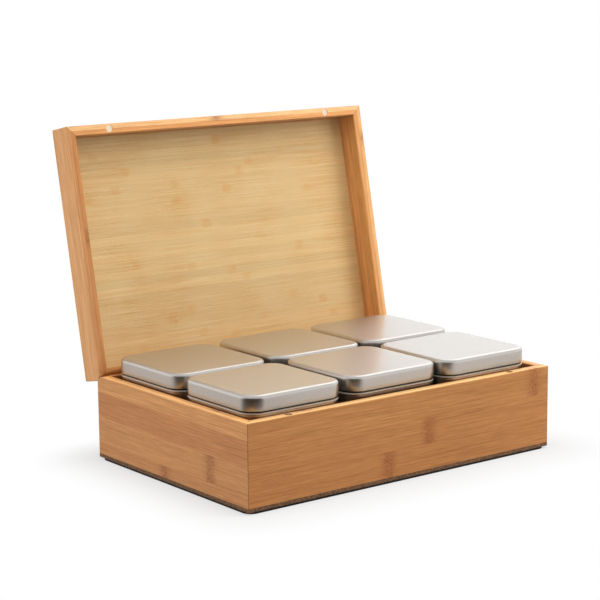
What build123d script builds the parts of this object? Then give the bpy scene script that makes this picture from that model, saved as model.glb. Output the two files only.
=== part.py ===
from build123d import *
import os
from math import atan2, degrees, radians, sqrt, tan

os.makedirs("parts", exist_ok=True)

# Tea storage box in bamboo: a mitred base, a hinged tray lid and six slip-lid tins.
# Millimetres. X runs along the front, Y to the back, Z up.
# The origin is the middle of the mat's underside. The lid stands open on its stop.

# The tins, which the box is built around
tin_width = 92.0
tin_height = 81.5
tin_corner = 14.5
tin_sheet = 0.35
tin_lid_height = 12.1
tin_lid_round = 3.0
tin_lid_play = 0.3
tin_bead_height = 1.8
tin_bead_below_lid = 1.3
tin_bottom_raised = 3.0
tin_columns = ("left", "middle", "right")
tin_rows = ("front", "rear")

# Free room that the rows of tins leave along the box and across it
room_along = 17.2
room_across = 9.2

# Where each tin stands: the share of that free room on its left and in front of it
tin_stand = {
    ("front", "left"): (0.04, 0.10),
    ("front", "middle"): (0.49, 0.37),
    ("front", "right"): (0.70, 0.09),
    ("rear", "left"): (0.07, 0.66),
    ("rear", "middle"): (0.54, 0.91),
    ("rear", "right"): (0.90, 0.95),
}

# Gap under a tin and under a tin's lid where they only rest
seat_gap = 0.3

# Boards of the base and of the lid
wall = 8.4
wall_height = 65.3
rim_bevel = 0.7
corner_bevel = 0.7
back_round = 7.5
bottom_thickness = 3.0
mat_thickness = 2.0
mat_inset = 1.0
mat_corner = 8.0
lid_height = 24.0
lid_top_round = 1.6
panel_thickness = 2.0
panel_rebate = 4.2

# The lid's swing: the rims stay this far apart when it is shut, and so do the back edges on its stop
parting_gap = 0.3
lid_open_angle = 101.5

# Narrow butt hinges, let into the rims at the back
hinge_from_end = 50.0
hinge_length = 25.0
knuckle_radius = 1.8
knuckle_middle = 9.0
knuckle_gap = 0.25
pin_radius = 0.8
pin_play = 0.05
leaf_thickness = 0.8
leaf_margin = 0.3
mortise_play = 0.3
screw_spacing = 18.0
screw_radius = 0.6
screw_length = 8.0
screw_sides = 8

# Disc magnets in the front rims
magnet_from_end = 41.0
magnet_radius = 3.0
magnet_thickness = 2.5
magnet_sunk = 0.4
magnet_play = 0.05

# Turns, in degrees
full_turn = 360.0
quarter_turn = full_turn / 4
bevel_slope = quarter_turn / 2

# Overall sizes
cavity_length = len(tin_columns) * tin_width + room_along
cavity_depth = len(tin_rows) * tin_width + room_across
box_length = cavity_length + 2 * wall
box_depth = cavity_depth + 2 * wall
wall_foot = mat_thickness + bottom_thickness
base_rim = wall_foot + wall_height
lid_rim = base_rim + parting_gap
lid_top = lid_rim + lid_height
panel_foot = lid_top - panel_thickness

# Hinge pins, set in from the back so that the rounded back edges meet at the open angle
half_gap = parting_gap / 2
stop_slope = tan(radians(quarter_turn - lid_open_angle / 4))
pin_inset = back_round - (back_round + half_gap) / stop_slope
pin_y = box_depth / 2 - pin_inset
pin_z = base_rim + half_gap
hinge_places = {"left": hinge_from_end - box_length / 2, "right": box_length / 2 - hinge_from_end}
leaf_land = knuckle_radius + knuckle_gap
leaf_reach = wall - pin_inset - leaf_margin
knuckle_outer = (hinge_length - knuckle_middle) / 2 - knuckle_gap
knuckle_bed = knuckle_radius + mortise_play
mortise_length = hinge_length + 2 * mortise_play
screw_y = pin_y - (leaf_land + leaf_reach) / 2
screw_places = [x + end * screw_spacing / 2 for x in hinge_places.values() for end in (-1, 1)]

# Magnets, in the middle of the front rims
magnet_places = (magnet_from_end - box_length / 2, box_length / 2 - magnet_from_end)
magnet_y = (wall - box_depth) / 2
magnet_hole = magnet_sunk + magnet_thickness

# The lid is drawn shut, in a frame that is the base's own turned open about the pins
base_frame = Plane.XY
lid_frame = Plane(
    Location((0, pin_y, pin_z)) * Rotation(-lid_open_angle, 0, 0) * Location((0, -pin_y, -pin_z))
)

# The sides, each a quarter turn on from the one before
side_names = ("front", "right", "back", "left")
long_sides = ("front", "back")

# Base and lid: frame, foot, top, rim, the way the rim faces, and what a board is called
shells = {
    "base": (base_frame, wall_foot, base_rim, base_rim, 1, "wall"),
    "lid": (lid_frame, lid_rim, lid_top, lid_rim, -1, "rail"),
}


def placed(frame, plane):
    """The same plane, moved from the box's own frame into another."""
    return Plane(frame.location * plane.location)


def face_length(side):
    """Length of a side's outer face."""
    return box_length if side in long_sides else box_depth


def face_distance(side):
    """Distance of a side's outer face from the middle of the box."""
    return box_depth / 2 if side in long_sides else box_length / 2


def side_frame(frame, side):
    """A frame turned so that this side lies where the front does."""
    turn = quarter_turn * side_names.index(side)
    return Plane(frame.location * Location((0, 0, 0), (0, 0, turn)))


def board_section(frame, side, foot):
    """Plane across a board from its outer foot: x runs into the box and y up."""
    outer_foot = (0, -face_distance(side), foot)
    return placed(side_frame(frame, side), Plane(outer_foot, x_dir=(0, 1, 0), z_dir=(1, 0, 0)))


def mitre(frame, side, end):
    """Plane of the mitre at one end of a board, facing away from the board."""
    corner = (end * face_length(side) / 2, -face_distance(side), 0)
    return placed(side_frame(frame, side), Plane(corner, x_dir=(0, 0, 1), z_dir=(end, 1, 0)))


def across(frame, x, y, z):
    """Plane across the box: x runs to the back and y up."""
    return placed(frame, Plane((x, y, z), x_dir=(0, 1, 0), z_dir=(1, 0, 0)))


def level(frame, x, y, z, facing):
    """Level plane, facing up or down."""
    return placed(frame, Plane((x, y, z), x_dir=(1, 0, 0), z_dir=(0, 0, facing)))


# Boards of both shells
for shell, (frame, foot, top, rim, facing, kind) in shells.items():
    leaf_face = pin_z - facing * half_gap
    for side in side_names:
        with BuildPart() as board:
            # Moulded section, with the panel's rebate in a lid rail
            with BuildSketch(board_section(frame, side, foot)) as profile:
                Rectangle(wall, top - foot, align=(Align.MIN, Align.MIN))
                levels = profile.vertices().group_by(Axis.Y)
                chamfer(levels[-1 if facing > 0 else 0], rim_bevel)
                if shell == "lid":
                    fillet(levels[-1].sort_by(Axis.X)[0], lid_top_round)
                    with Locations((wall, top - foot)):
                        Rectangle(
                            panel_rebate,
                            panel_thickness,
                            align=(Align.MAX, Align.MAX),
                            mode=Mode.SUBTRACT,
                        )
            extrude(amount=face_length(side) / 2, both=True)
            # Mitred ends, with the upright corners eased
            for end in (-1, 1):
                split(bisect_by=mitre(frame, side, end), keep=Keep.BOTTOM)
            with BuildSketch(level(frame, 0, 0, foot, 1)) as outline:
                Rectangle(box_length, box_depth)
                chamfer(outline.vertices(), corner_bevel)
            extrude(amount=top - foot, mode=Mode.INTERSECT)
            # The back edge at the rim, rounded in one pass over the back board and the side boards' ends
            if side != "front":
                round_start = (0, -facing * back_round)
                round_end = (-back_round, 0)
                with BuildSketch(across(frame, 0, box_depth / 2, rim)):
                    with BuildLine():
                        Polyline(round_end, (0, 0), round_start)
                        TangentArc(round_start, round_end, tangent=(0, facing))
                    make_face()
                extrude(amount=box_length, both=True, mode=Mode.SUBTRACT)
            # Beds for the hinge leaves and knuckles, and the screw holes under the leaves
            if side == "back":
                toward_rim = Align.MIN if facing > 0 else Align.MAX
                for x in hinge_places.values():
                    with BuildSketch(across(frame, x, pin_y, pin_z)):
                        with Locations((0, -facing * (half_gap + leaf_thickness))):
                            Rectangle(wall, 2 * leaf_thickness, align=(Align.MAX, toward_rim))
                        with Locations((0, -facing * knuckle_bed)):
                            Rectangle(2 * knuckle_bed, 2 * knuckle_bed, align=(Align.CENTER, toward_rim))
                    extrude(amount=mortise_length / 2, both=True, mode=Mode.SUBTRACT)
                for x in screw_places:
                    with BuildSketch(level(frame, x, screw_y, leaf_face, facing)):
                        RegularPolygon(screw_radius, screw_sides)
                    extrude(amount=-screw_length, mode=Mode.SUBTRACT)
            # Magnet holes
            if side == "front":
                for x in magnet_places:
                    with BuildSketch(level(frame, x, magnet_y, rim, facing)):
                        Circle(magnet_radius + magnet_play)
                    extrude(amount=-magnet_hole, mode=Mode.SUBTRACT)
        board.part.label = f"{shell}_{side}_{kind}"
        export_step(board.part, f"parts/{board.part.label}.step")

    # Magnets at the bottom of their holes, as one group
    with BuildPart() as magnets:
        for x in magnet_places:
            with BuildSketch(level(frame, x, magnet_y, rim - facing * magnet_hole, facing)):
                Circle(magnet_radius)
            extrude(amount=magnet_thickness)
    magnets.part.label = f"{shell}_magnets"
    export_step(magnets.part, f"parts/{magnets.part.label}.step")

    # Screws, flush with the leaves, as one group
    with BuildPart() as screws:
        for x in screw_places:
            with BuildSketch(level(frame, x, screw_y, leaf_face, facing)):
                RegularPolygon(screw_radius, screw_sides)
            extrude(amount=-screw_length)
    screws.part.label = f"hinge_{shell}_screws"
    export_step(screws.part, f"parts/{screws.part.label}.step")

    # Hinge leaves: the base's has the two outer knuckles, the lid's has the middle one
    outer_centre = (hinge_length - knuckle_outer) / 2
    if shell == "base":
        knuckles = {-outer_centre: knuckle_outer, outer_centre: knuckle_outer}
    else:
        knuckles = {0: knuckle_middle}
    for place, x in hinge_places.items():
        with BuildPart() as leaf:
            leaf_middle = -facing * (half_gap + leaf_thickness / 2)
            with BuildSketch(across(frame, x, pin_y, pin_z)):
                with Locations((-leaf_land, leaf_middle)):
                    Rectangle(leaf_reach - leaf_land, leaf_thickness, align=(Align.MAX, Align.CENTER))
            extrude(amount=hinge_length / 2, both=True)
            for centre, length in knuckles.items():
                with BuildSketch(across(frame, x + centre, pin_y, pin_z)):
                    Circle(knuckle_radius)
                    with Locations((0, leaf_middle)):
                        Rectangle(leaf_land, leaf_thickness, align=(Align.MAX, Align.CENTER))
                extrude(amount=length / 2, both=True)
            with BuildSketch(across(frame, x, pin_y, pin_z)):
                Circle(pin_radius + pin_play)
            extrude(amount=hinge_length, both=True, mode=Mode.SUBTRACT)
            for end in (-1, 1):
                with BuildSketch(level(frame, x + end * screw_spacing / 2, screw_y, leaf_face, facing)):
                    RegularPolygon(screw_radius, screw_sides)
                extrude(amount=-leaf_thickness, mode=Mode.SUBTRACT)
        leaf.part.label = f"hinge_{place}_{shell}_leaf"
        export_step(leaf.part, f"parts/{leaf.part.label}.step")

# Hinge pins
for place, x in hinge_places.items():
    with BuildPart() as pin:
        with BuildSketch(across(base_frame, x, pin_y, pin_z)):
            Circle(pin_radius)
        extrude(amount=hinge_length / 2, both=True)
    pin.part.label = f"hinge_{place}_pin"
    export_step(pin.part, f"parts/{pin.part.label}.step")

# Board under the walls
with BuildPart() as base_bottom_panel:
    with BuildSketch(Plane.XY.offset(mat_thickness)) as bottom_outline:
        Rectangle(box_length, box_depth)
        chamfer(bottom_outline.vertices(), corner_bevel)
    extrude(amount=bottom_thickness)
base_bottom_panel.part.label = "base_bottom_panel"
export_step(base_bottom_panel.part, "parts/base_bottom_panel.step")

# Non-slip mat under the board
with BuildPart() as base_mat:
    with BuildSketch():
        RectangleRounded(box_length - 2 * mat_inset, box_depth - 2 * mat_inset, mat_corner)
    extrude(amount=mat_thickness)
base_mat.part.label = "base_mat"
export_step(base_mat.part, "parts/base_mat.step")

# Panel in the lid's rebate
with BuildPart() as lid_panel:
    with BuildSketch(level(lid_frame, 0, 0, panel_foot, 1)):
        panel_edge = 2 * (wall - panel_rebate)
        Rectangle(box_length - panel_edge, box_depth - panel_edge)
    extrude(amount=panel_thickness)
lid_panel.part.label = "lid_panel"
export_step(lid_panel.part, "parts/lid_panel.step")

# Levels and widths of a tin. The round edge of its lid is a bevel tangent to the arc.
tin_foot = wall_foot + seat_gap
tin_top = tin_foot + tin_height
skirt_foot = tin_top - tin_lid_height
bead_top = skirt_foot - tin_bead_below_lid
tangent_share = 2 - sqrt(2)
outer_bevel = tangent_share * tin_lid_round
inner_bevel = tangent_share * (tin_lid_round - tin_sheet)
pocket_straight = tin_lid_height - tin_sheet - inner_bevel
neck_top = skirt_foot + pocket_straight + tin_lid_play - seat_gap
neck_inset = tin_sheet + tin_lid_play
bore_inset = neck_inset + tin_sheet
bead_taper = degrees(atan2(neck_inset, tin_bead_height / 2))
skirt_straight = tin_lid_height - outer_bevel


def tin_outline(centre, height, inset):
    """A tin's outline at one level, drawn in by the inset on every side."""
    with BuildSketch(Plane(centre).offset(height)) as outline:
        RectangleRounded(tin_width - 2 * inset, tin_width - 2 * inset, tin_corner - inset)
    return outline.sketch


# Tins: a body with its stop bead, a bottom set in above the body's foot, and a slip lid
for (row, column), (share_along, share_across) in tin_stand.items():
    centre = (
        tin_width * tin_columns.index(column) + room_along * share_along + (tin_width - cavity_length) / 2,
        tin_width * tin_rows.index(row) + room_across * share_across + (tin_width - cavity_depth) / 2,
        0,
    )

    with BuildPart() as tin_body:
        extrude(tin_outline(centre, tin_foot, neck_inset), amount=neck_top - tin_foot)
        bead_middle = tin_outline(centre, bead_top - tin_bead_height / 2, 0)
        for way in (-1, 1):
            extrude(bead_middle, amount=way * tin_bead_height / 2, taper=bead_taper)
        extrude(tin_outline(centre, tin_foot, bore_inset), amount=tin_height, mode=Mode.SUBTRACT)
    tin_body.part.label = f"tin_{row}_{column}_body"
    export_step(tin_body.part, f"parts/{tin_body.part.label}.step")

    with BuildPart() as tin_bottom:
        extrude(tin_outline(centre, tin_foot + tin_bottom_raised, bore_inset), amount=tin_sheet)
    tin_bottom.part.label = f"tin_{row}_{column}_bottom"
    export_step(tin_bottom.part, f"parts/{tin_bottom.part.label}.step")

    with BuildPart() as tin_lid:
        extrude(tin_outline(centre, skirt_foot, 0), amount=skirt_straight)
        edge = tin_outline(centre, skirt_foot + skirt_straight, 0)
        extrude(edge, amount=outer_bevel, taper=bevel_slope)
        extrude(tin_outline(centre, skirt_foot, tin_sheet), amount=pocket_straight, mode=Mode.SUBTRACT)
        pocket_edge = tin_outline(centre, skirt_foot + pocket_straight, tin_sheet)
        extrude(pocket_edge, amount=inner_bevel, taper=bevel_slope, mode=Mode.SUBTRACT)
    tin_lid.part.label = f"tin_{row}_{column}_lid"
    export_step(tin_lid.part, f"parts/{tin_lid.part.label}.step")

print("box", round(box_length, 2), "x", round(box_depth, 2), "pin inset", round(pin_inset, 3))
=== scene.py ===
"""Looks of the tea storage box: bamboo boards, satin tins, brass hinges and magnets.

Lengths in the classes are millimetres, and the meshes are in metres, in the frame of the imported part.
"""

import logging
import math
from dataclasses import dataclass
from enum import Enum
from typing import Any

import bmesh
import bpy
from mathutils import Euler, Matrix, Vector


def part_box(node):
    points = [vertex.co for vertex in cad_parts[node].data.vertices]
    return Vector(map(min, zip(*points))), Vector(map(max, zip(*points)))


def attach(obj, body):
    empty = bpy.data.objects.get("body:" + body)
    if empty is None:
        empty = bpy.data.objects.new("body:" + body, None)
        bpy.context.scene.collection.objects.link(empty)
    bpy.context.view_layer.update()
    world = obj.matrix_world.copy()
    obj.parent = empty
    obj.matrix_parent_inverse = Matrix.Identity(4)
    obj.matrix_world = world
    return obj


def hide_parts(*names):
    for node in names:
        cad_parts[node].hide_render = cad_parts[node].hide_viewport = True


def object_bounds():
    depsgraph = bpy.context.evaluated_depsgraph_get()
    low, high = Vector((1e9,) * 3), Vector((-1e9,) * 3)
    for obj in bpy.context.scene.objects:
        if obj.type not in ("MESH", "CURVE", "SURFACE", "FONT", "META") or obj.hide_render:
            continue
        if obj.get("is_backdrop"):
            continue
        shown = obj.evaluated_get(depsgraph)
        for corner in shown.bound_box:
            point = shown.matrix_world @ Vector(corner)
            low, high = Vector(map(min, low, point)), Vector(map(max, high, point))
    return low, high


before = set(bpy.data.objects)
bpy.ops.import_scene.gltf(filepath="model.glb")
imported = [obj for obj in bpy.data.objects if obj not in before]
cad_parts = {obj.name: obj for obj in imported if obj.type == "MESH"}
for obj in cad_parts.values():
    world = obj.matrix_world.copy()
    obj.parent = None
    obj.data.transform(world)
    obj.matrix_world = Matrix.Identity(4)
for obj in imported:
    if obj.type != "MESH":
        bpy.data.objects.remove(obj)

LOG = logging.getLogger("tea_box")
MM = 0.001
CAD_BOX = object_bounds()

# Lengths and levels of the box and of a tin's lid and bead, and the lid's hinge line and swing, as the
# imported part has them
BOX_LENGTH = 310.0
BOX_DEPTH = 210.0
BASE_RIM_LEVEL = 70.3
LID_RIM_LEVEL = 70.6
PANEL_FOOT_LEVEL = 92.6
SKIRT_FOOT_LEVEL = 74.7
BEAD_TOP_LEVEL = 73.4
BEAD_FOOT_LEVEL = 71.6
LID_PIVOT = Vector((0.0, 101.128, 70.45))
LID_ANGLE = math.radians(101.5)

# A noise lies mostly between these two, and about evenly round the third
NOISE_LOW = 0.3
NOISE_HIGH = 0.7
NOISE_MIDDLE = 0.5

# Bamboo, rubber and lacquer bend light by this much
COMMON_IOR = 1.5
WHITE = (1.0, 1.0, 1.0, 1.0)
SHARP_EDGE = math.radians(40)

# Settings of a Mix node that mixes colours, and of a Map Range node that eases in and out
COLOURS = {"out": 2, "data_type": "RGBA"}
SMOOTH = {"interpolation_type": "SMOOTHSTEP"}


def linear(colour: str) -> tuple[float, float, float, float]:
    """Turns an sRGB hex colour into the linear one that a shader reads, by the sRGB curve.

    Args:
        colour: six hex digits after a hash sign.

    Returns:
        Red, green, blue and an alpha of 1.
    """
    parts = [int(colour[i:i + 2], 16) / 255 for i in (1, 3, 5)]
    tones = [c / 12.92 if c <= 0.04045 else ((c + 0.055) / 1.055) ** 2.4 for c in parts]
    return (tones[0], tones[1], tones[2], 1.0)


def opened(point: Vector) -> Vector:
    """Moves a point of the shut lid to where the open lid has it.

    Args:
        point: a place on the shut lid, in millimetres.

    Returns:
        The same place on the lid as it stands open.
    """
    return LID_PIVOT + Euler((-LID_ANGLE, 0, 0)).to_matrix() @ (point - LID_PIVOT)


class Graph:
    """A material's or a world's node tree, filled node by node."""

    def __init__(self, name: str, world: bool = False) -> None:
        """Starts an empty material or world.

        Args:
            name: its name.
            world: whether it is a world.
        """
        self.output = "OutputWorld" if world else "OutputMaterial"
        self.owner = (bpy.data.worlds if world else bpy.data.materials).new(name)
        self.owner.use_nodes = True
        self.tree = self.owner.node_tree
        self.tree.nodes.clear()

    def add(self, kind: str, inputs: dict[Any, Any] | None = None, out: Any = 0, **settings: Any) -> Any:
        """Adds one node with its settings and links.

        Args:
            kind: the node's type name after ShaderNode.
            inputs: socket name or number to a value, or to the socket that feeds it.
            out: the output to hand back.
            settings: properties of the node; stops and ramp fill a colour ramp.

        Returns:
            The asked output socket, or the node where it has none.
        """
        node = self.tree.nodes.new("ShaderNode" + kind)
        stops = settings.pop("stops", None)
        ramp = settings.pop("ramp", "LINEAR")
        for name, value in settings.items():
            setattr(node, name, value)
        if stops:
            node.color_ramp.interpolation = ramp
            elements = node.color_ramp.elements
            while len(elements) < len(stops):
                elements.new(0.5)
            for element, (place, colour) in zip(elements, stops):
                element.position = place
                element.color = colour
        for key, value in (inputs or {}).items():
            if isinstance(value, bpy.types.NodeSocket):
                self.tree.links.new(value, node.inputs[key])
            else:
                node.inputs[key].default_value = value
        return node.outputs[out] if len(node.outputs) else node

    def millimetres(self) -> Any:
        """Adds the Object coordinates in millimetres and hands back their socket."""
        source = self.add("TexCoord", out="Object")
        return self.add("Mapping", {"Vector": source, "Scale": (1 / MM, 1 / MM, 1 / MM)})

    def finish(self, shader: Any) -> Any:
        """Joins the shader to the output and hands back the material or the world."""
        self.add(self.output, {"Surface": shader})
        return self.owner


@dataclass(frozen=True)
class BoardPlace:
    """Where a board lies: x runs along it from its left end, y in from its outer face, z off from its rim."""

    corner: tuple[float, float, float]
    turn: float
    length: float
    shell: str

    def coordinates(self, graph: Graph) -> Any:
        """Adds the board's own coordinates, in millimetres.

        Args:
            graph: the material that reads them.

        Returns:
            A vector socket.
        """
        corner = Vector(self.corner)
        if self.shell == "lid":
            corner = opened(corner)
            turn = Euler((LID_ANGLE, 0, self.turn))
            flip = Vector((1, 1, 1))
        else:
            turn = Euler((0, 0, self.turn))
            flip = Vector((1, 1, -1))
        shift = -(turn.to_matrix() @ (corner * flip))
        source = graph.add("TexCoord", out="Object")
        return graph.add("Mapping", {"Vector": source, "Location": shift, "Rotation": turn,
                                     "Scale": flip / MM})


@dataclass(frozen=True)
class Strip:
    """A strip of a ply: where it ends from the rim, its tone, and where its node mark lies along the board.

    A node mark past the board's end is none.
    """

    end: float
    tone: str
    node: float


@dataclass(frozen=True)
class Fibre:
    """A kind of fibre: how many to a mm along and across, its noise's detail and range, and its lightness."""

    along: float
    across: float
    detail: float
    reach: tuple[float, float]
    light: tuple[float, float]


# Long lines, short dashes, dark streaks, pale streaks and slow bands. Real fibre bundles are 0.2 to 0.4 mm
# wide, which is too fine to show, so they are drawn 0.6 mm wide and more.
FIBRES = (
    Fibre(0.014, 0.85, 5.0, (0.32, 0.68), (0.83, 1.13)),
    Fibre(0.060, 1.70, 2.0, (0.35, 0.65), (0.89, 1.09)),
    Fibre(0.009, 0.42, 3.0, (0.56, 0.66), (1.0, 0.80)),
    Fibre(0.007, 0.50, 3.0, (0.60, 0.70), (1.0, 1.14)),
    Fibre(0.005, 0.16, 2.0, (0.35, 0.65), (0.93, 1.06)),
)


@dataclass(frozen=True)
class PressedBamboo:
    """Carbonised bamboo, pressed from two plies of strips, sanded and oiled.

    Steaming turns it caramel. The eye gets long fine fibres along the board, a slow change of tone from
    strip to strip, and here and there the reddish squiggles of a node. The sanded rim is paler, and shows
    both plies. Pairs of lengths are where an effect starts and where it is full.
    """

    name: str
    place: BoardPlace
    outer: tuple[Strip, ...]
    inner: tuple[Strip, ...]
    rim: tuple[str, str]
    ply: float = 4.2
    sway: float = 1.6
    sways_per_mm: float = 0.02
    rim_edge: tuple[float, float] = (0.25, 0.02)
    fibre_shift: float = 7.3
    node_tone: str = "#84421b"
    node_bends_per_mm: float = 0.16
    node_bend: float = 9.0
    node_halo: tuple[float, float] = (13.0, 1.0)
    node_column: tuple[float, float] = (8.0, 1.5)
    curls_per_mm: tuple[float, float, float] = (0.26, 0.80, 0.80)
    curl_edge: tuple[float, float] = (0.075, 0.01)
    curl_strength: float = 0.57
    halo_strength: float = 0.27
    fibres_aside: float = 6.0
    glue_tone: str = "#4a2c16"
    mitre_line: tuple[float, float] = (0.5, 0.1)
    mitre_strength: float = 0.4
    seam_reach: float = 0.12
    seam_strength: float = 0.2
    green_power: float = 1.25
    blue_power: float = 1.7
    roughness: float = 0.46

    def strips(self, graph: Graph, places: Any) -> tuple[Any, Any]:
        """Adds the tone of the strip at a point, and the distance along the board from its node.

        Args:
            graph: the material.
            places: the board's coordinates, split in three.

        Returns:
            A colour socket and a value socket.
        """
        add = graph.add
        along, deep, down = places
        height = self.outer[-1].end
        sway = add("TexNoise", {"W": along, "Scale": self.sways_per_mm, "Detail": 1.0}, noise_dimensions="1D")
        sway = add("Math", {0: sway, 1: self.sway, 2: down}, operation="MULTIPLY_ADD")
        share = add("Math", {0: sway, 1: height + self.sway / 2}, operation="DIVIDE", use_clamp=True)
        inside = add("Math", {0: deep, 1: self.ply}, operation="GREATER_THAN")
        picked = []
        for strips in (self.outer, self.inner):
            starts = [0.0] + [strip.end / height for strip in strips[:-1]]
            spots = [strip.node / self.place.length for strip in strips]
            picked.append(add("ValToRGB", {0: share}, ramp="CONSTANT",
                              stops=[(s, linear(t.tone)) for s, t in zip(starts, strips)]))
            picked.append(add("ValToRGB", {0: share}, ramp="CONSTANT",
                              stops=[(s, (n, n, n, 1)) for s, n in zip(starts, spots)]))
        tone = add("Mix", {0: inside, 6: picked[0], 7: picked[2]}, **COLOURS)
        spot = add("Mix", {0: inside, 6: picked[1], 7: picked[3]}, **COLOURS)
        rim = add("Mix", {0: inside, 6: linear(self.rim[0]), 7: linear(self.rim[1])}, **COLOURS)
        edge = add("MapRange", {0: down, 1: self.rim_edge[1], 2: self.rim_edge[0], 3: 1.0, 4: 0.0})
        tone = add("Mix", {0: edge, 6: tone, 7: rim}, **COLOURS)
        away = add("Math", {0: spot, 1: -self.place.length, 2: along}, operation="MULTIPLY_ADD")
        return tone, away

    def fibres(self, graph: Graph, places: Any, bend: Any) -> tuple[Any, Any]:
        """Adds the fibres, each kind over the one before.

        Args:
            graph: the material.
            places: the board's coordinates, split in three.
            bend: how far the fibres step aside, in millimetres.

        Returns:
            How light the fibres are, and their height.
        """
        add = graph.add
        along, deep, down = places
        lifted = add("Math", {0: down, 1: bend}, operation="ADD")
        flow = add("CombineXYZ", {0: along, 1: deep, 2: lifted})
        light = None
        height = None
        for number, fibre in enumerate(FIBRES):
            point = add("Mapping", {"Vector": flow, "Location": (self.fibre_shift * number, 0, 0),
                                    "Scale": (fibre.along, fibre.across, fibre.across)})
            noise = add("TexNoise", {"Vector": point, "Scale": 1.0, "Detail": fibre.detail, "Roughness": 0.6})
            height = height or noise
            step = add("MapRange", {0: noise, 1: fibre.reach[0], 2: fibre.reach[1], 3: fibre.light[0],
                                    4: fibre.light[1]})
            light = add("Math", {0: light, 1: step}, operation="MULTIPLY") if light else step
        return light, height

    def node_marks(self, graph: Graph, place: Any, away: Any) -> tuple[Any, Any]:
        """Adds the marks of a node: two ragged columns of squiggles in a soft halo.

        Args:
            graph: the material.
            place: the board's coordinates.
            away: the distance along the board from the node.

        Returns:
            How strong the mark is, and how far the fibres step aside.
        """
        add = graph.add
        slow = add("TexNoise", {"Vector": place, "Scale": self.node_bends_per_mm, "Detail": 2.0})
        ragged = add("Math", {0: slow, 1: NOISE_MIDDLE}, operation="SUBTRACT")
        bent = add("Math", {0: ragged, 1: self.node_bend, 2: away}, operation="MULTIPLY_ADD")
        reach = add("Math", {0: bent}, operation="ABSOLUTE")
        halo, column = [add("MapRange", {0: reach, 1: start, 2: full, 3: 0.0, 4: 1.0}, **SMOOTH)
                        for start, full in (self.node_halo, self.node_column)]
        steps = add("VectorMath", {0: place, 1: self.curls_per_mm}, operation="MULTIPLY")
        curl = add("TexNoise", {"Vector": steps, "Scale": 1.0, "Detail": 1.0, "Distortion": 0.5})
        ridge = add("Math", {0: curl, 1: NOISE_MIDDLE}, operation="SUBTRACT")
        ridge = add("Math", {0: ridge}, operation="ABSOLUTE")
        ridge = add("MapRange", {0: ridge, 1: self.curl_edge[0], 2: self.curl_edge[1], 3: 0.0, 4: 1.0},
                    **SMOOTH)
        mark = add("Math", {0: ridge, 1: column}, operation="MULTIPLY")
        soft = add("Math", {0: halo, 1: self.halo_strength}, operation="MULTIPLY")
        mark = add("Math", {0: mark, 1: self.curl_strength, 2: soft}, operation="MULTIPLY_ADD",
                   use_clamp=True)
        aside = add("Math", {0: ragged, 1: halo}, operation="MULTIPLY")
        aside = add("Math", {0: aside, 1: self.fibres_aside}, operation="MULTIPLY")
        return mark, aside

    def glue(self, graph: Graph, places: Any) -> Any:
        """Adds the thin glue lines: at the mitres and between the plies.

        Args:
            graph: the material.
            places: the board's coordinates, split in three.

        Returns:
            How strong the line is.
        """
        add = graph.add
        along, deep, _ = places
        left = add("Math", {0: along, 1: deep}, operation="SUBTRACT")
        right = add("Math", {0: self.place.length, 1: along}, operation="SUBTRACT")
        right = add("Math", {0: right, 1: deep}, operation="SUBTRACT")
        mitre = add("Math", {0: left, 1: right}, operation="MINIMUM")
        mitre = add("MapRange", {0: mitre, 1: self.mitre_line[1], 2: self.mitre_line[0],
                                 3: self.mitre_strength, 4: 0.0})
        seam = add("Math", {0: deep, 1: self.ply, 2: self.seam_reach}, operation="COMPARE")
        seam = add("Math", {0: seam, 1: self.seam_strength}, operation="MULTIPLY")
        return add("Math", {0: mitre, 1: seam}, operation="MAXIMUM")

    def material(self) -> bpy.types.Material:
        """Builds the board's material.

        Returns:
            The material.
        """
        graph = Graph(self.name)
        add = graph.add
        place = self.place.coordinates(graph)
        places = tuple(add("SeparateXYZ", {0: place}).node.outputs)
        tone, away = self.strips(graph, places)
        mark, aside = self.node_marks(graph, place, away)
        light, height = self.fibres(graph, places, aside)
        # Where a fibre is dark it is also redder
        less_green = add("Math", {0: light, 1: self.green_power}, operation="POWER")
        less_blue = add("Math", {0: light, 1: self.blue_power}, operation="POWER")
        light = add("CombineColor", {0: light, 1: less_green, 2: less_blue})
        colour = add("Mix", {0: 1.0, 6: tone, 7: light}, **COLOURS, blend_type="MULTIPLY")
        colour = add("Mix", {0: mark, 6: colour, 7: linear(self.node_tone)}, **COLOURS)
        glue = self.glue(graph, places)
        colour = add("Mix", {0: glue, 6: colour, 7: linear(self.glue_tone)}, **COLOURS)
        rough = add("MapRange", {0: height, 1: NOISE_LOW, 2: NOISE_HIGH, 3: self.roughness - 0.05,
                                 4: self.roughness + 0.06})
        bump = add("Bump", {"Height": height, "Strength": 0.18, "Distance": 0.00008})
        shader = add("BsdfPrincipled", {"Base Color": colour, "Roughness": rough, "Normal": bump,
                                        "IOR": COMMON_IOR, "Specular IOR Level": 0.42})
        return graph.finish(shader)


# The panel's rows from the hinge side: the places of two node marks along the row, and how strong they are.
# A place past the row's end is none.
PANEL_ROWS = (
    (262, 330, 0.3), (40, 330, 0.2), (161, 330, 0.9), (34, 330, 0.6), (228, 330, 0.3), (64, 193, 0.7),
    (182, 330, 0.6), (52, 112, 0.7), (166, 25, 0.6), (112, 254, 0.6), (205, 330, 0.2), (78, 330, 0.25),
    (140, 330, 0.8), (283, 330, 0.3), (195, 330, 0.25), (96, 330, 0.2), (63, 237, 0.6), (119, 330, 0.6),
    (161, 330, 0.6), (175, 330, 0.5), (48, 330, 0.25), (287, 330, 0.6), (113, 223, 0.6), (92, 256, 0.9),
    (190, 330, 0.3), (122, 266, 0.6), (156, 60, 0.5),
)


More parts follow.
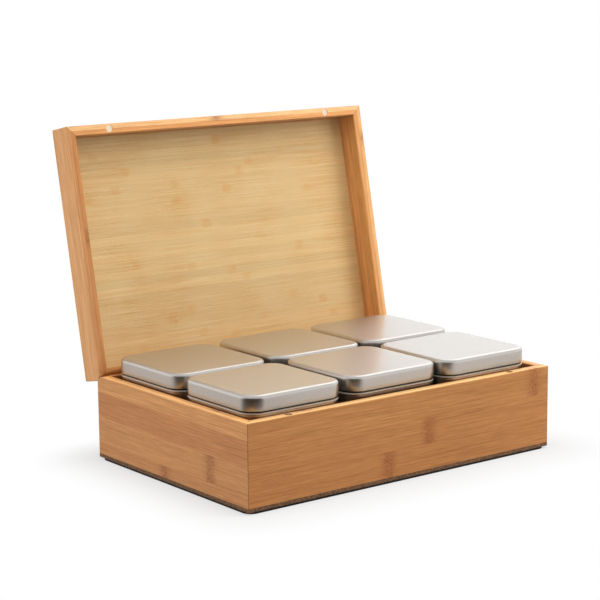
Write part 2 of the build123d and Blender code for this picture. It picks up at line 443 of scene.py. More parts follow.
@dataclass(frozen=True)
class NaturalBamboo:
    """Natural bamboo veneer, laid in narrow rows, sanded and lacquered.

    It stays a pale straw colour. Each row has its own tone and short, square node marks, and fine honey
    fibres run along it. As on the boards, the fibres are drawn wider than the real ones, to show.
    """

    name: str = "natural_bamboo_veneer"
    row: float = 7.2
    row_sway: float = 1.4
    tone: str = "#dabf8b"
    fibre_tone: str = "#c48a43"
    fibres_per_mm: tuple[float, float, float] = (0.013, 1.5, 1.0)
    fibre_sway: float = 3.0
    fibre_strength: float = 0.95
    patches_per_mm: float = 0.02
    patch_low: float = 0.55
    node_tone: str = "#cf8b3c"
    node_bend: float = 9.0
    node_reach: tuple[float, float] = (6.5, 2.0)
    node_strength: float = 0.55
    row_light: tuple[float, float] = (0.945, 1.05)
    joint_share: float = 0.07
    joint_strength: float = 0.14
    roughness: float = 0.44

    def nodes(self, graph: Graph, along: Any, rows: Any, curl: Any, wander: Any) -> Any:
        """Adds the rows' node marks.

        Args:
            graph: the material.
            along: the distance along the panel.
            rows: the distance across it, counted in rows.
            curl: a fine noise.
            wander: the same noise round nought.

        Returns:
            How strong the mark is.
        """
        add = graph.add
        share = add("Math", {0: rows, 1: len(PANEL_ROWS)}, operation="DIVIDE", use_clamp=True)
        stops = [(i / len(PANEL_ROWS), (first / BOX_LENGTH, second / BOX_LENGTH, strength, 1))
                 for i, (first, second, strength) in enumerate(PANEL_ROWS)]
        picked = add("ValToRGB", {0: share}, ramp="CONSTANT", stops=stops)
        marks = add("SeparateColor", {0: picked}).node.outputs
        bent = add("Math", {0: wander, 1: self.node_bend, 2: along}, operation="MULTIPLY_ADD")
        near = []
        for mark in marks[0:2]:
            off = add("Math", {0: mark, 1: -BOX_LENGTH, 2: bent}, operation="MULTIPLY_ADD")
            near.append(add("Math", {0: off}, operation="ABSOLUTE"))
        close = add("Math", {0: near[0], 1: near[1]}, operation="MINIMUM")
        node = add("MapRange", {0: close, 1: self.node_reach[0], 2: self.node_reach[1], 3: 0.0,
                                4: self.node_strength}, **SMOOTH)
        speckle = add("MapRange", {0: curl, 1: 0.35, 2: 0.6, 3: 1.0, 4: 0.55})
        node = add("Math", {0: node, 1: speckle}, operation="MULTIPLY")
        return add("Math", {0: node, 1: marks[2]}, operation="MULTIPLY")

    def material(self) -> bpy.types.Material:
        """Builds the panel's material.

        Returns:
            The material.
        """
        graph = Graph(self.name)
        add = graph.add
        corner = (-BOX_LENGTH / 2, -BOX_DEPTH / 2, PANEL_FOOT_LEVEL)
        place = BoardPlace(corner, 0.0, BOX_LENGTH, "lid").coordinates(graph)
        along, across, _ = tuple(add("SeparateXYZ", {0: place}).node.outputs)
        curl = add("TexNoise", {"Vector": place, "Scale": 0.30, "Detail": 3.0, "Roughness": 0.65})
        wander = add("Math", {0: curl, 1: NOISE_MIDDLE}, operation="SUBTRACT")
        swayed = add("Math", {0: wander, 1: self.row_sway, 2: across}, operation="MULTIPLY_ADD")
        rows = add("Math", {0: swayed, 1: self.row}, operation="DIVIDE")
        index = add("Math", {0: rows}, operation="FLOOR")
        luck = add("TexWhiteNoise", {"W": index}, out="Value", noise_dimensions="1D")
        node = self.nodes(graph, along, rows, curl, wander)
        lifted = add("Math", {0: wander, 1: self.fibre_sway, 2: across}, operation="MULTIPLY_ADD")
        flow = add("CombineXYZ", {0: along, 1: lifted, 2: index})
        fine = add("VectorMath", {0: flow, 1: self.fibres_per_mm}, operation="MULTIPLY")
        fibres = add("TexNoise", {"Vector": fine, "Scale": 1.0, "Detail": 5.0, "Roughness": 0.65})
        honey = add("MapRange", {0: fibres, 1: 0.36, 2: 0.68, 3: 0.0, 4: self.fibre_strength})
        patch = add("TexNoise", {"Vector": flow, "Scale": self.patches_per_mm, "Detail": 2.0})
        patch = add("MapRange", {0: patch, 1: 0.35, 2: 0.65, 3: self.patch_low, 4: 1.0})
        honey = add("Math", {0: honey, 1: patch}, operation="MULTIPLY")
        colour = add("Mix", {0: honey, 6: linear(self.tone), 7: linear(self.fibre_tone)}, **COLOURS)
        light = add("MapRange", {0: luck, 1: 0.0, 2: 1.0, 3: self.row_light[0], 4: self.row_light[1]})
        colour = add("Mix", {0: 1.0, 6: colour, 7: light}, **COLOURS, blend_type="MULTIPLY")
        joint = add("Math", {0: rows}, operation="FRACT")
        joint = add("MapRange", {0: joint, 1: 0.0, 2: self.joint_share, 3: self.joint_strength, 4: 0.0})
        for strength in (node, joint):
            colour = add("Mix", {0: strength, 6: colour, 7: linear(self.node_tone)}, **COLOURS)
        bump = add("Bump", {"Height": fibres, "Strength": 0.15, "Distance": 0.00006})
        shader = add("BsdfPrincipled", {"Base Color": colour, "Roughness": self.roughness, "Normal": bump,
                                        "IOR": COMMON_IOR, "Specular IOR Level": 0.4})
        return graph.finish(shader)


@dataclass(frozen=True)
class RawBoard:
    """The base's bottom board of bamboo, its edge sawn and left raw: brown, speckled with cut fibre ends.

    The ends are 0.3 mm wide in truth. They are drawn about 1 mm wide, to show.
    """

    name: str = "raw_bamboo_board"
    tone: str = "#7d5a3c"
    speck_tone: str = "#2e1f14"
    specks_per_mm: float = 0.9
    roughness: float = 0.75

    def material(self) -> bpy.types.Material:
        """Builds the board's material.

        Returns:
            The material.
        """
        graph = Graph(self.name)
        add = graph.add
        place = graph.millimetres()
        specks = add("TexNoise", {"Vector": place, "Scale": self.specks_per_mm, "Detail": 3.0,
                                  "Roughness": 0.7})
        amount = add("MapRange", {0: specks, 1: 0.42, 2: 0.62, 3: 0.0, 4: 0.85})
        colour = add("Mix", {0: amount, 6: linear(self.tone), 7: linear(self.speck_tone)}, **COLOURS)
        bump = add("Bump", {"Height": specks, "Strength": 0.3, "Distance": 0.0001})
        shader = add("BsdfPrincipled", {"Base Color": colour, "Roughness": self.roughness, "Normal": bump,
                                        "IOR": COMMON_IOR})
        return graph.finish(shader)


@dataclass(frozen=True)
class FoamRubber:
    """The base's non-slip sheet of closed-cell foam rubber: black, dull and finely pitted.

    Its cells are 0.3 mm wide in truth, and drawn wider, to show.
    """

    name: str = "foam_rubber_sheet"
    tone: str = "#161514"
    cell: float = 0.8
    roughness: float = 0.85

    def material(self) -> bpy.types.Material:
        """Builds the sheet's material.

        Returns:
            The material.
        """
        graph = Graph(self.name)
        add = graph.add
        cells = add("TexVoronoi", {"Vector": graph.millimetres(), "Scale": 1 / self.cell})
        shade = add("MapRange", {0: cells, 1: 0.0, 2: 0.6, 3: 0.6, 4: 1.25})
        colour = add("Mix", {0: 1.0, 6: linear(self.tone), 7: shade}, **COLOURS, blend_type="MULTIPLY")
        bump = add("Bump", {"Height": cells, "Strength": 0.4, "Distance": 0.0001})
        shader = add("BsdfPrincipled", {"Base Color": colour, "Roughness": self.roughness, "Normal": bump,
                                        "IOR": COMMON_IOR})
        return graph.finish(shader)


@dataclass(frozen=True)
class SatinTinplate:
    """Tinplate: thin steel with a matt tin coat, drawn to shape under a thin clear lacquer.

    The eye gets a soft, faintly grainy mirror with a clearer one of lacquer over it, and a slow waviness
    where the sheet was drawn. The tin's real grain of about 0.1 mm is drawn coarser, to show. A lid is a
    little darker and bluer towards its foot. A body has a dark band of painted shade in the gap between
    bead and lid, and is rubbed smooth below its bead.
    """

    name: str = "satin_tinplate"
    tone: str = "#cfcac4"
    grain: float = 1.6
    grain_light: tuple[float, float] = (0.95, 1.04)
    grain_gloss: tuple[float, float] = (0.95, 1.05)
    roughness: float = 0.50
    side_roughness: float = 0.35
    lacquer: float = 0.22
    foot: float | None = None
    foot_tone: str = "#b4b9bb"
    foot_height: float = 4.0
    # Levels and tone of a dark band of painted shade, in the gap between the body's bead and the lid
    groove_shade_band: tuple[float, float] | None = None
    groove_shade_tone: str = "#3b3027"
    rubbed_below: float = 0.0
    rubbed_roughness: float = 0.30
    bead_roughness: float = 0.62

    def material(self) -> bpy.types.Material:
        """Builds the tinplate's material.

        Returns:
            The material.
        """
        graph = Graph(self.name)
        add = graph.add
        place = graph.millimetres()
        grains = add("TexNoise", {"Vector": place, "Scale": 1 / self.grain, "Detail": 2.0, "Roughness": 0.7})
        waves = add("TexNoise", {"Vector": place, "Scale": 0.03, "Detail": 1.0})
        light, gloss = [add("MapRange", {0: grains, 1: NOISE_LOW, 2: NOISE_HIGH, 3: least, 4: most})
                        for least, most in (self.grain_light, self.grain_gloss)]
        level = add("SeparateXYZ", {0: place}, out=2)
        tone = linear(self.tone)
        if self.foot:
            hem = add("MapRange", {0: level, 1: self.foot, 2: self.foot + self.foot_height, 3: 1.0, 4: 0.0},
                      **SMOOTH)
            tone = add("Mix", {0: hem, 6: tone, 7: linear(self.foot_tone)}, **COLOURS)
        colour = add("Mix", {0: 1.0, 6: tone, 7: light}, **COLOURS, blend_type="MULTIPLY")
        # The die rubs the drawn sides smoother than the flat top
        upward = add("SeparateXYZ", {0: add("TexCoord", out="Normal")}, out=2)
        rough = add("MapRange", {0: upward, 1: 0.5, 2: 0.95, 3: self.side_roughness, 4: self.roughness})
        rough = add("Math", {0: rough, 1: gloss}, operation="MULTIPLY")
        # Painted shade: a dark band in the gap between bead and lid, where the gap is in shade
        if self.groove_shade_band:
            low, high = self.groove_shade_band
            inside = add("Math", {0: level, 1: (low + high) / 2, 2: (high - low) / 2}, operation="COMPARE")
            colour = add("Mix", {0: inside, 6: colour, 7: linear(self.groove_shade_tone)}, **COLOURS)
            rubbed = add("Math", {0: level, 1: self.rubbed_below}, operation="LESS_THAN")
            rough = add("Mix", {0: rubbed, 2: rough, 3: self.rubbed_roughness})
            bead = add("Math", {0: level, 1: (self.rubbed_below + low) / 2, 2: (low - self.rubbed_below) / 2},
                       operation="COMPARE")
            rough = add("Mix", {0: bead, 2: rough, 3: self.bead_roughness})
        slow = add("Bump", {"Height": waves, "Strength": 0.25, "Distance": 0.001})
        bump = add("Bump", {"Height": grains, "Strength": 0.12, "Distance": 0.00005, "Normal": slow})
        shader = add("BsdfPrincipled", {"Base Color": colour, "Metallic": 1.0, "Roughness": rough,
                                        "Normal": bump, "Coat Weight": 1.0, "Coat Roughness": self.lacquer,
                                        "Coat IOR": COMMON_IOR})
        return graph.finish(shader)


@dataclass(frozen=True)
class PlatedMetal:
    """A small plated or plain metal part, tumbled smooth, with faint handling marks in its gloss."""

    name: str
    tone: str
    roughness: float
    marks_per_mm: float = 1.6

    def material(self) -> bpy.types.Material:
        """Builds the metal's material.

        Returns:
            The material.
        """
        graph = Graph(self.name)
        add = graph.add
        place = graph.millimetres()
        marks = add("TexNoise", {"Vector": place, "Scale": self.marks_per_mm, "Detail": 4.0,
                                 "Roughness": 0.7})
        light = add("MapRange", {0: marks, 1: NOISE_LOW, 2: NOISE_HIGH, 3: 0.88, 4: 1.06})
        colour = add("Mix", {0: 1.0, 6: linear(self.tone), 7: light}, **COLOURS, blend_type="MULTIPLY")
        rough = add("MapRange", {0: marks, 1: NOISE_LOW, 2: NOISE_HIGH, 3: self.roughness - 0.06,
                                 4: self.roughness + 0.08})
        shader = add("BsdfPrincipled", {"Base Color": colour, "Metallic": 1.0, "Roughness": rough})
        return graph.finish(shader)


def dress(node: str, material: bpy.types.Material) -> None:
    """Gives a CAD node its finish.

    Args:
        node: the node's name.
        material: the finish.
    """
    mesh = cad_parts[node].data
    mesh.materials.clear()
    mesh.materials.append(material)
    LOG.info("dressed %s in %s", node, material.name)


def new_piece(name: str, mesh: bmesh.types.BMesh, material: bpy.types.Material) -> bpy.types.Object:
    """Makes a smooth-shaded object of a mesh, in metres.

    Args:
        name: the piece's name.
        mesh: its shape in millimetres, which is freed.
        material: its finish.

    Returns:
        The new object, at the origin.
    """
    bmesh.ops.scale(mesh, vec=(MM, MM, MM), verts=mesh.verts)
    data = bpy.data.meshes.new(name)
    mesh.to_mesh(data)
    mesh.free()
    data.materials.append(material)
    data.shade_smooth()
    data.set_sharp_from_angle(angle=SHARP_EDGE)
    piece = bpy.data.objects.new(name, data)
    bpy.context.scene.collection.objects.link(piece)
    LOG.info("built %s: %d faces", name, len(data.polygons))
    return piece


class Column(Enum):
    """The columns of tins, from the left."""

    LEFT = 0
    MIDDLE = 1
    RIGHT = 2


class Row(Enum):
    """The rows of tins, from the front."""

    FRONT = 0
    REAR = 1


@dataclass
class Tin:
    """A square slip-lid tin: a body with a rolled stop bead and a seamed-on bottom, and its lid.

    The top's rings keep its shading flat. No inset is less than the least, so that none is nil.
    """

    row: Row
    column: Column
    finish: bpy.types.Material
    body_finish: bpy.types.Material
    width: float = 92.0
    height: float = 81.5
    corner: float = 14.5
    sheet: float = 0.35
    play: float = 0.3
    lid_height: float = 12.1
    lid_round: float = 3.0
    neck_below_top: float = 1.9
    bead_height: float = 1.8
    bead_below_lid: float = 1.3
    bottom_raised: float = 3.0
    seam_round: float = 0.4
    top_rings: tuple[float, float] = (2.0, 6.0)
    corner_segments: int = 16
    outer_segments: int = 7
    inner_segments: int = 5
    seam_segments: int = 4
    edge_segments: int = 3
    least_inset: float = 0.002
    merge_distance: float = 0.001

    @property
    def name(self) -> str:
        """The tin's name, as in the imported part."""
        return f"tin_{self.row.name.lower()}_{self.column.name.lower()}"

    def measure(self) -> tuple[Vector, Vector]:
        """The tin lid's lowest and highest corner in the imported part, in millimetres."""
        low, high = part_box(f"{self.name}_lid")
        return Vector(low) / MM, Vector(high) / MM

    def outline(self, mesh: bmesh.types.BMesh, height: float) -> bmesh.types.BMFace:
        """Lays down the tin's full outline as one face that looks up.

        Args:
            mesh: the mesh to add to.
            height: its level.

        Returns:
            The face.
        """
        low, high = self.measure()
        centre = (low + high) / 2
        made = bmesh.ops.create_grid(mesh, x_segments=1, y_segments=1, size=self.width / 2)
        bmesh.ops.translate(mesh, verts=made["verts"], vec=(centre.x, centre.y, height))
        corners = bmesh.ops.bevel(mesh, geom=made["verts"], offset=self.corner, offset_type="OFFSET",
                                  segments=self.corner_segments, profile=0.5, affect="VERTICES", material=-1)
        return corners["verts"][0].link_faces[0]

    def grow(self, mesh: bmesh.types.BMesh, face: bmesh.types.BMFace,
             steps: list[tuple[float, float]]) -> bmesh.types.BMFace:
        """Draws a face up or down in steps, each time a little smaller, so that it leaves a wall behind.

        Args:
            mesh: the mesh that holds it.
            face: the face to move.
            steps: inset and rise of each step, in millimetres.

        Returns:
            The moved face.
        """
        for inset, rise in steps:
            if inset > 0:
                bmesh.ops.inset_region(mesh, faces=[face], thickness=inset, depth=0.0, use_boundary=True,
                                       use_even_offset=True)
            else:
                made = bmesh.ops.extrude_discrete_faces(mesh, faces=[face])
                face = made["faces"][0]
            bmesh.ops.translate(mesh, verts=face.verts, vec=(0, 0, rise))
        return face

    def arc(self, radius: float, segments: int) -> list[tuple[float, float]]:
        """Steps along a quarter arc that starts upright and ends flat.

        Args:
            radius: its radius.
            segments: how many steps.

        Returns:
            Inset and rise of each step.
        """
        turns = [math.radians(90.0 * i / segments) for i in range(segments + 1)]
        return [(radius * (math.cos(a) - math.cos(b)), radius * (math.sin(b) - math.sin(a)))
                for a, b in zip(turns, turns[1:])]

    def build_lid(self) -> None:
        """Builds the slip lid: a drawn cap with a round top edge and a hemmed skirt."""
        low, _ = self.measure()
        straight = self.lid_height - self.lid_round
        mesh = bmesh.new()
        face = self.outline(mesh, low.z + self.sheet)
        outside = [(0.0, straight - self.sheet)] + self.arc(self.lid_round, self.outer_segments)
        self.grow(mesh, face, outside + [(ring, 0.0) for ring in self.top_rings])
        under = self.outline(mesh, low.z + self.sheet)
        hem = [(inset, -rise) for inset, rise in self.arc(self.sheet, self.edge_segments)]
        inside = [(0.0, straight)] + self.arc(self.lid_round - self.sheet, self.inner_segments)
        self.grow(mesh, under, hem + inside)
        self.close(mesh, self.finish, f"{self.name}_lid_shell", f"{self.name}_lid", f"{self.name}_cover")

    def build_body(self) -> None:
        """Builds the body, from the bead up over the neck to the floor, and down to the bottom seam."""
        low, high = self.measure()
        foot = high.z - self.height
        half = self.bead_height / 2
        bead_middle = low.z - self.bead_below_lid - half
        depth = self.sheet + self.play
        bead = [(inset * depth / half, rise) for inset, rise in self.arc(half, self.inner_segments)]
        lip = self.sheet / 2
        neck_top = high.z - self.neck_below_top
        neck = neck_top - bead_middle - half - lip
        edge = self.arc(lip, self.edge_segments)
        edge = edge + [(inset, -rise) for inset, rise in reversed(edge)]
        edge = [(max(inset, self.least_inset), rise) for inset, rise in edge]
        floor = foot + self.bottom_raised + self.sheet
        mesh = bmesh.new()
        face = self.outline(mesh, bead_middle)
        self.grow(mesh, face, bead + [(0.0, neck)] + edge + [(0.0, floor - (neck_top - lip))])
        under = self.outline(mesh, bead_middle)
        falling = [(inset, -rise) for inset, rise in bead]
        wall = foot + self.seam_round - (bead_middle - half)
        seam = self.arc(self.seam_round, self.seam_segments)
        seam = [(inset, -rise) for inset, rise in seam] + seam[::-1]
        self.grow(mesh, under, falling + [(0.0, wall)] + seam + [(0.0, self.bottom_raised - self.seam_round)])
        self.close(mesh, self.body_finish, f"{self.name}_body_shell", f"{self.name}_body", self.name,
                   f"{self.name}_bottom")

    def close(self, mesh: bmesh.types.BMesh, finish: bpy.types.Material, name: str, node: str, body: str,
              *others: str) -> None:
        """Joins the two halves, turns the faces outwards and hands the piece to the frame.

        Args:
            mesh: the finished shape.
            finish: its material.
            name: the piece's name.
            node: the CAD node that it stands for.
            body: the body that it rides on.
            others: more nodes that it stands for.
        """
        bmesh.ops.remove_doubles(mesh, verts=mesh.verts, dist=self.merge_distance)
        bmesh.ops.recalc_face_normals(mesh, faces=mesh.faces)
        piece = new_piece(name, mesh, finish)
        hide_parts(node, *others)
        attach(piece, body)

    def build(self) -> None:
        """Builds both pieces of the tin."""
        self.build_lid()
        self.build_body()


@dataclass
class BambooShell:
    """The boards of the base or of the lid, with their finishes."""

    shell: str
    rim: float
    board_word: str
    outer: dict[str, tuple[Strip, ...]]
    inner: dict[str, tuple[Strip, ...]]
    rims: dict[str, tuple[str, str]]

    def places(self) -> dict[str, BoardPlace]:
        """The place of each board.

        Returns:
            Side to place.
        """
        x, y, z = BOX_LENGTH / 2, BOX_DEPTH / 2, self.rim
        return {
            "front": BoardPlace((-x, -y, z), 0.0, BOX_LENGTH, self.shell),
            "right": BoardPlace((x, -y, z), math.radians(-90), BOX_DEPTH, self.shell),
            "back": BoardPlace((x, y, z), math.radians(180), BOX_LENGTH, self.shell),
            "left": BoardPlace((-x, y, z), math.radians(90), BOX_DEPTH, self.shell),
        }

    def build(self) -> None:
        """Dresses the four boards."""
        for side, place in self.places().items():
            node = f"{self.shell}_{side}_{self.board_word}"
            finish = PressedBamboo(f"carbonised_bamboo_{node}", place, self.outer[side], self.inner[side],
                                   self.rims[side])
            dress(node, finish.material())


BASE_OUTER = {
    "front": (Strip(23.6, "#bb7e44", 293), Strip(44.4, "#b97b42", 178), Strip(65.3, "#b77940", 136)),
    "right": (Strip(12.4, "#b97c46", 60), Strip(33.2, "#c28650", 150), Strip(54.0, "#b67640", 24),
              Strip(65.3, "#bd7f49", 118)),
    "back": (Strip(20.9, "#bd7f49", 70), Strip(41.7, "#b47440", 240), Strip(62.5, "#c08450", 158),
             Strip(65.3, "#b97b46", 20)),
    "left": (Strip(13.7, "#cf9358", 300), Strip(34.3, "#bd7e4a", 300), Strip(55.7, "#c68a54", 161),
             Strip(65.3, "#c28550", 98)),
}
BASE_INNER = {
    side: (Strip(18.0, "#ab6b35", 60 + 34 * i), Strip(39.0, "#b4743b", 150 - 20 * i),
           Strip(65.3, "#ac6c36", 95))
    for i, side in enumerate(("front", "right", "back", "left"))
}
BASE_RIM = {"front": ("#ffcc8b", "#e4ad6f"), "right": ("#edb373", "#dc9d5c"), "back": ("#edb373", "#dc9d5c"),
            "left": ("#f6bb7a", "#e3a462")}
LID_OUTER = {
    "front": (Strip(20.9, "#cf965c", 150), Strip(24.0, "#c68b50", 40)),
    "right": (Strip(20.9, "#cb9055", 30), Strip(24.0, "#c68b50", 90)),
    "back": (Strip(20.9, "#c68a50", 96), Strip(24.0, "#c68b50", 200)),
    "left": (Strip(20.9, "#dca26a", 320), Strip(24.0, "#d99d66", 320)),
}
LID_INNER = {
    "front": (Strip(9.0, "#c08850", 320), Strip(24.0, "#ba7f47", 250)),
    "right": (Strip(9.0, "#e0a260", 330), Strip(24.0, "#e6a666", 330)),
    "back": (Strip(9.0, "#b07038", 60), Strip(24.0, "#ac6c34", 180)),
    "left": (Strip(9.0, "#c18342", 118), Strip(24.0, "#b67a42", 60)),
}
LID_RIM = {"front": ("#f4bf86", "#de9b5e"), "right": ("#ebb375", "#dc9c60"), "back": ("#d89c60", "#cf9052"),
           "left": ("#c88d5a", "#c4844c")}


@dataclass(frozen=True)
class SoftBox:
    """A square soft box: its name, its place and its side in metres, and its watts."""

    name: str
    place: tuple[float, float, float]
    side: float
    power: float


SOFT_BOXES = (
    SoftBox("left_soft_box", (-1.9, 0.4, 0.9), 1.2, 15.0),
    SoftBox("right_soft_box", (0.75, -0.6, 0.5), 0.6, 4.2),
    SoftBox("top_soft_box", (0.1, -0.55, 1.65), 1.6, 27.0),
    SoftBox("rear_soft_box", (-0.6, 2.0, 1.1), 1.4, 9.0),
)


@dataclass
class Studio:
    """A plain pale floor, soft lamps and the camera at the photograph's angle.

    The camera's focal length is in pixels of a frame that is 600 pixels wide, and its angles are in radians.
    What the metal mirrors is set apart from what lights the box, as painted reflection: the floor, the
    surround behind the box, before it and overhead, a strip of painted highlight, and a dark card of painted
    shade. The shadow's and the mirrored floor's lengths and the lamps' aim are in metres. The surround and
    the lamps render a colour about as it is written.
    """

    focal_pixels: float = 1903.3437
    frame_pixels: float = 600.0
    sensor: float = 36.0
    clip_start: float = 0.05
    clip_end: float = 50.0
    position: tuple[float, float, float] = (-949.8859, -1209.0073, 413.1258)
    yaw: float = 0.6531885702527371
    pitch: float = 0.1821744337305353
    roll: float = -0.009605866477112444
    aim: tuple[float, float, float] = (0.0, 0.0, 0.1)
    surround: float = 0.30
    floor_size: float = 8000.0
    floor_level: float = -0.05
    floor_tone: str = "#cdcdcd"
    shadow_from: tuple[float, float, float] = (0.150, 0.100, 0.0)
    shadow_reach: float = 0.07
    shadow_white: float = 0.58
    floor_in_metal: str = "#d8d2cd"
    floor_in_metal_sides: tuple[float, float] = (-0.4, 0.2)
    floor_in_metal_light: tuple[float, float] = (0.95, 1.10)
    rear_in_metal: float = 1.03
    front_in_metal: float = 0.96
    facing_reach: tuple[float, float] = (-0.1, 0.6)
    overhead_in_metal: float = 0.80
    overhead_reach: tuple[float, float] = (0.35, 0.70)
    strip_light: tuple[float, float, float] = (0.62, 0.35, 0.70)
    strip_reach: tuple[float, float] = (0.92, 0.99)
    strip_in_metal: float = 3.0
    card_tone: str = "#26211e"
    card_near: float = 300.0
    card_far: float = 1100.0
    card_foot: float = 1.0
    card_height: float = 620.0
    card_left: float = math.radians(62)
    card_right: float = math.radians(44)
    card_fade: float = math.radians(24)
    card_segments: int = 24

    def build_camera(self) -> None:
        """Places the camera."""
        data = bpy.data.cameras.new("camera")
        data.sensor_width = self.sensor
        data.lens = self.focal_pixels / self.frame_pixels * self.sensor
        data.clip_start = self.clip_start
        data.clip_end = self.clip_end
        yaw, pitch, roll = self.yaw, self.pitch, self.roll
        ahead = Vector((math.sin(yaw) * math.cos(pitch), math.cos(yaw) * math.cos(pitch), -math.sin(pitch)))
        right = Vector((math.cos(yaw), -math.sin(yaw), 0))
        up = right.cross(ahead)
        side = math.cos(roll) * right + math.sin(roll) * up
        top = math.cos(roll) * up - math.sin(roll) * right
        camera = bpy.data.objects.new("camera", data)
        axes = Matrix((side, top, -ahead)).transposed().to_4x4()
        camera.matrix_world = Matrix.Translation(Vector(self.position) * MM) @ axes
        bpy.context.scene.collection.objects.link(camera)
        bpy.context.scene.camera = camera

    def build_floor(self) -> None:
        """Lays a white floor: it keeps the shadow near the box and is plain white farther off."""
        graph = Graph("white_paper_floor")
        add = graph.add
        source = add("TexCoord", out="Object")
        place = add("VectorMath", {0: source}, operation="ABSOLUTE")
        place = add("VectorMath", {0: place, 1: self.shadow_from}, operation="SUBTRACT")
        place = add("VectorMath", {0: place, 1: (0.0, 0.0, 0.0)}, operation="MAXIMUM")
        reach = add("VectorMath", {0: place}, out="Value", operation="LENGTH")
        far = add("MapRange", {0: reach, 1: 0.0, 2: self.shadow_reach, 3: self.shadow_white, 4: 1.0},
                  **SMOOTH)
        path = add("LightPath").node.outputs
        seen = add("Math", {0: path["Is Camera Ray"], 1: path["Is Glossy Ray"]}, operation="MAXIMUM")
        seen = add("Math", {0: seen, 1: path["Is Transmission Ray"]}, operation="MAXIMUM")
        plain = add("Math", {0: seen, 1: far}, operation="MULTIPLY")
        paper = add("BsdfDiffuse", {"Color": linear(self.floor_tone)})
        # Painted reflection: the floor the metal mirrors is a warm grey, lighter to the right and darker to
        # the left, as the light falls from the right
        left, right = self.floor_in_metal_sides
        dark, light = self.floor_in_metal_light
        side = add("MapRange", {0: add("SeparateXYZ", {0: source}), 1: left, 2: right, 3: dark, 4: light})
        dim = add("Mix", {0: path["Is Glossy Ray"], 2: 1.0, 3: side})
        shade = add("Mix", {0: path["Is Glossy Ray"], 6: WHITE, 7: linear(self.floor_in_metal)}, **COLOURS)
        glow = add("Emission", {"Color": shade, "Strength": dim})
        material = graph.finish(add("MixShader", {0: plain, 1: paper, 2: glow}))
        mesh = bmesh.new()
        bmesh.ops.create_grid(mesh, x_segments=1, y_segments=1, size=self.floor_size)
        bmesh.ops.translate(mesh, verts=mesh.verts, vec=(0, 0, self.floor_level))
        floor = new_piece("floor", mesh, material)
        floor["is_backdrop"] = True

    def build_card(self) -> None:
        """Lays a dark funnel of card before the box, as the dark side of the studio.

        Only reflections show it, as painted shade of the studio's dark side, and its two ends fade out.
        """
        graph = Graph("painted_shade_card")
        add = graph.add
        source = add("TexCoord", out="Object")
        place = add("VectorMath", {0: source, 1: (1.0, 1.0, 0.0)}, operation="MULTIPLY")
        place = add("VectorMath", {0: place}, operation="NORMALIZE")
        turn = self.yaw + (self.card_left - self.card_right) / 2
        middle = (-math.sin(turn), -math.cos(turn), 0.0)
        half = (self.card_left + self.card_right) / 2
        facing = add("VectorMath", {0: place, 1: middle}, out="Value", operation="DOT_PRODUCT")
        solid = add("MapRange", {0: facing, 1: math.cos(half), 2: math.cos(half - self.card_fade), 3: 0.0,
                                 4: 1.0}, **SMOOTH)
        # Painted shade in reflections: a dark card that only the metal mirrors, where the studio is dark
        card = add("BsdfDiffuse", {"Color": linear(self.card_tone)})
        material = graph.finish(add("MixShader", {0: solid, 1: add("BsdfTransparent"), 2: card}))
        mesh = bmesh.new()
        foot = mesh.verts.new((0, -self.card_near, self.card_foot))
        head = mesh.verts.new((0, -self.card_far, self.card_height))
        edge = mesh.edges.new((foot, head))
        bmesh.ops.rotate(mesh, verts=mesh.verts, matrix=Matrix.Rotation(-self.yaw - self.card_left, 3, "Z"))
        bmesh.ops.spin(mesh, geom=[foot, head, edge], axis=(0, 0, 1), angle=self.card_left + self.card_right,
                       steps=self.card_segments)
        card = new_piece("painted_shade_card", mesh, material)
        card.visible_camera = False
        card.visible_diffuse = False
        card.visible_shadow = False
        card.visible_transmission = False
        card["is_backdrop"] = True

    def build_world(self) -> None:
        """Sets an even soft surround, white to the camera and dimmer in the metal where the camera stands."""
        graph = Graph("surround", world=True)
        add = graph.add
        path = add("LightPath").node.outputs
        way = add("TexCoord", out="Generated")
        # Painted reflection: the surround the metal mirrors is brighter behind the box, dimmer before it and
        # overhead
        ahead = (-math.sin(self.yaw), -math.cos(self.yaw), 0.0)
        facing = add("VectorMath", {0: way, 1: ahead}, out="Value", operation="DOT_PRODUCT")
        low = add("MapRange", {0: facing, 1: self.facing_reach[0], 2: self.facing_reach[1],
                               3: self.rear_in_metal, 4: self.front_in_metal})
        rise = add("SeparateXYZ", {0: way}, out=2)
        high = add("MapRange", {0: rise, 1: self.overhead_reach[0], 2: self.overhead_reach[1], 3: 0.0,
                                4: 1.0})
        level = add("Mix", {0: high, 2: low, 3: self.overhead_in_metal})
        # Painted highlight: a bright strip overhead to the right that only the metal mirrors, on the tins'
        # round top edges
        apart = add("VectorMath", {0: way, 1: self.strip_light}, out="Value", operation="DOT_PRODUCT")
        strip = add("MapRange", {0: apart, 1: self.strip_reach[0], 2: self.strip_reach[1], 3: 0.0, 4: 1.0},
                    **SMOOTH)
        level = add("Mix", {0: strip, 2: level, 3: self.strip_in_metal})
        gloss, soft, white = [add("Background", {"Color": WHITE, "Strength": strength})
                              for strength in (level, self.surround, 1.0)]
        mixed = add("MixShader", {0: path["Is Glossy Ray"], 1: soft, 2: gloss})
        shown = add("MixShader", {0: path["Is Camera Ray"], 1: mixed, 2: white})
        bpy.context.scene.world = graph.finish(shown)

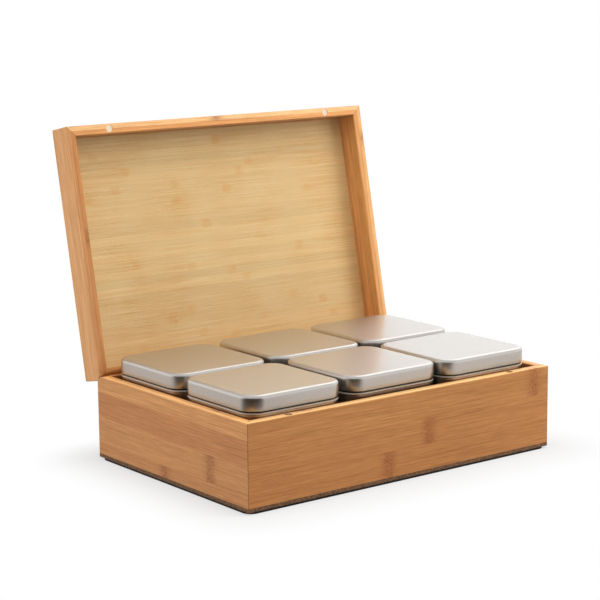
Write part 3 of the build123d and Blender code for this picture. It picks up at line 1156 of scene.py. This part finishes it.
    def build_lamp(self, box: SoftBox) -> None:
        """Hangs a soft box that looks at the object and that reflections don't show.

        Args:
            box: the soft box.
        """
        data = bpy.data.lights.new(box.name, "AREA")
        data.size = box.side
        data.energy = box.power
        lamp = bpy.data.objects.new(box.name, data)
        aim = Vector(self.aim) - Vector(box.place)
        lamp.rotation_euler = aim.to_track_quat("-Z", "Y").to_euler()
        lamp.location = box.place
        lamp.visible_glossy = False
        bpy.context.scene.collection.objects.link(lamp)

    def build(self) -> None:
        """Builds the stage."""
        bpy.context.scene.view_settings.view_transform = "Standard"
        self.build_camera()
        self.build_floor()
        self.build_card()
        self.build_world()
        for box in SOFT_BOXES:
            self.build_lamp(box)


def main() -> None:
    """Builds every sub-assembly in order."""
    logging.basicConfig(level=logging.INFO, format="%(name)s: %(message)s")
    Studio().build()
    BambooShell("base", BASE_RIM_LEVEL, "wall", BASE_OUTER, BASE_INNER, BASE_RIM).build()
    BambooShell("lid", LID_RIM_LEVEL, "rail", LID_OUTER, LID_INNER, LID_RIM).build()
    dress("lid_panel", NaturalBamboo().material())
    dress("base_bottom_panel", RawBoard().material())
    dress("base_mat", FoamRubber().material())
    lid_nickel = PlatedMetal("nickel_plated_magnet", tone="#ffeed4", roughness=0.36).material()
    # The base's magnets are the lid's nickel painted darker and warmer: painted shade of the recesses they
    # sit in
    base_nickel = PlatedMetal("shaded_nickel_magnet", tone="#e0c8a8", roughness=0.42).material()
    brass = PlatedMetal("rolled_brass", tone="#c9a45c", roughness=0.34).material()
    dress("base_magnets", base_nickel)
    dress("lid_magnets", lid_nickel)
    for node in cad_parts:
        if node.startswith("hinge_"):
            dress(node, brass)
    tinplate = SatinTinplate(foot=SKIRT_FOOT_LEVEL).material()
    # The body's dark band between bead and skirt foot is painted shade
    body_tinplate = SatinTinplate("satin_tinplate_body", tone="#d0c5b8", side_roughness=0.42,
                                  groove_shade_band=(BEAD_TOP_LEVEL, SKIRT_FOOT_LEVEL),
                                  rubbed_below=BEAD_FOOT_LEVEL).material()
    for row in Row:
        for column in Column:
            Tin(row, column, tinplate, body_tinplate).build()


if __name__ == "__main__":
    main()
    boxes = [[list(corner) for corner in box] for box in (CAD_BOX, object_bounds())]
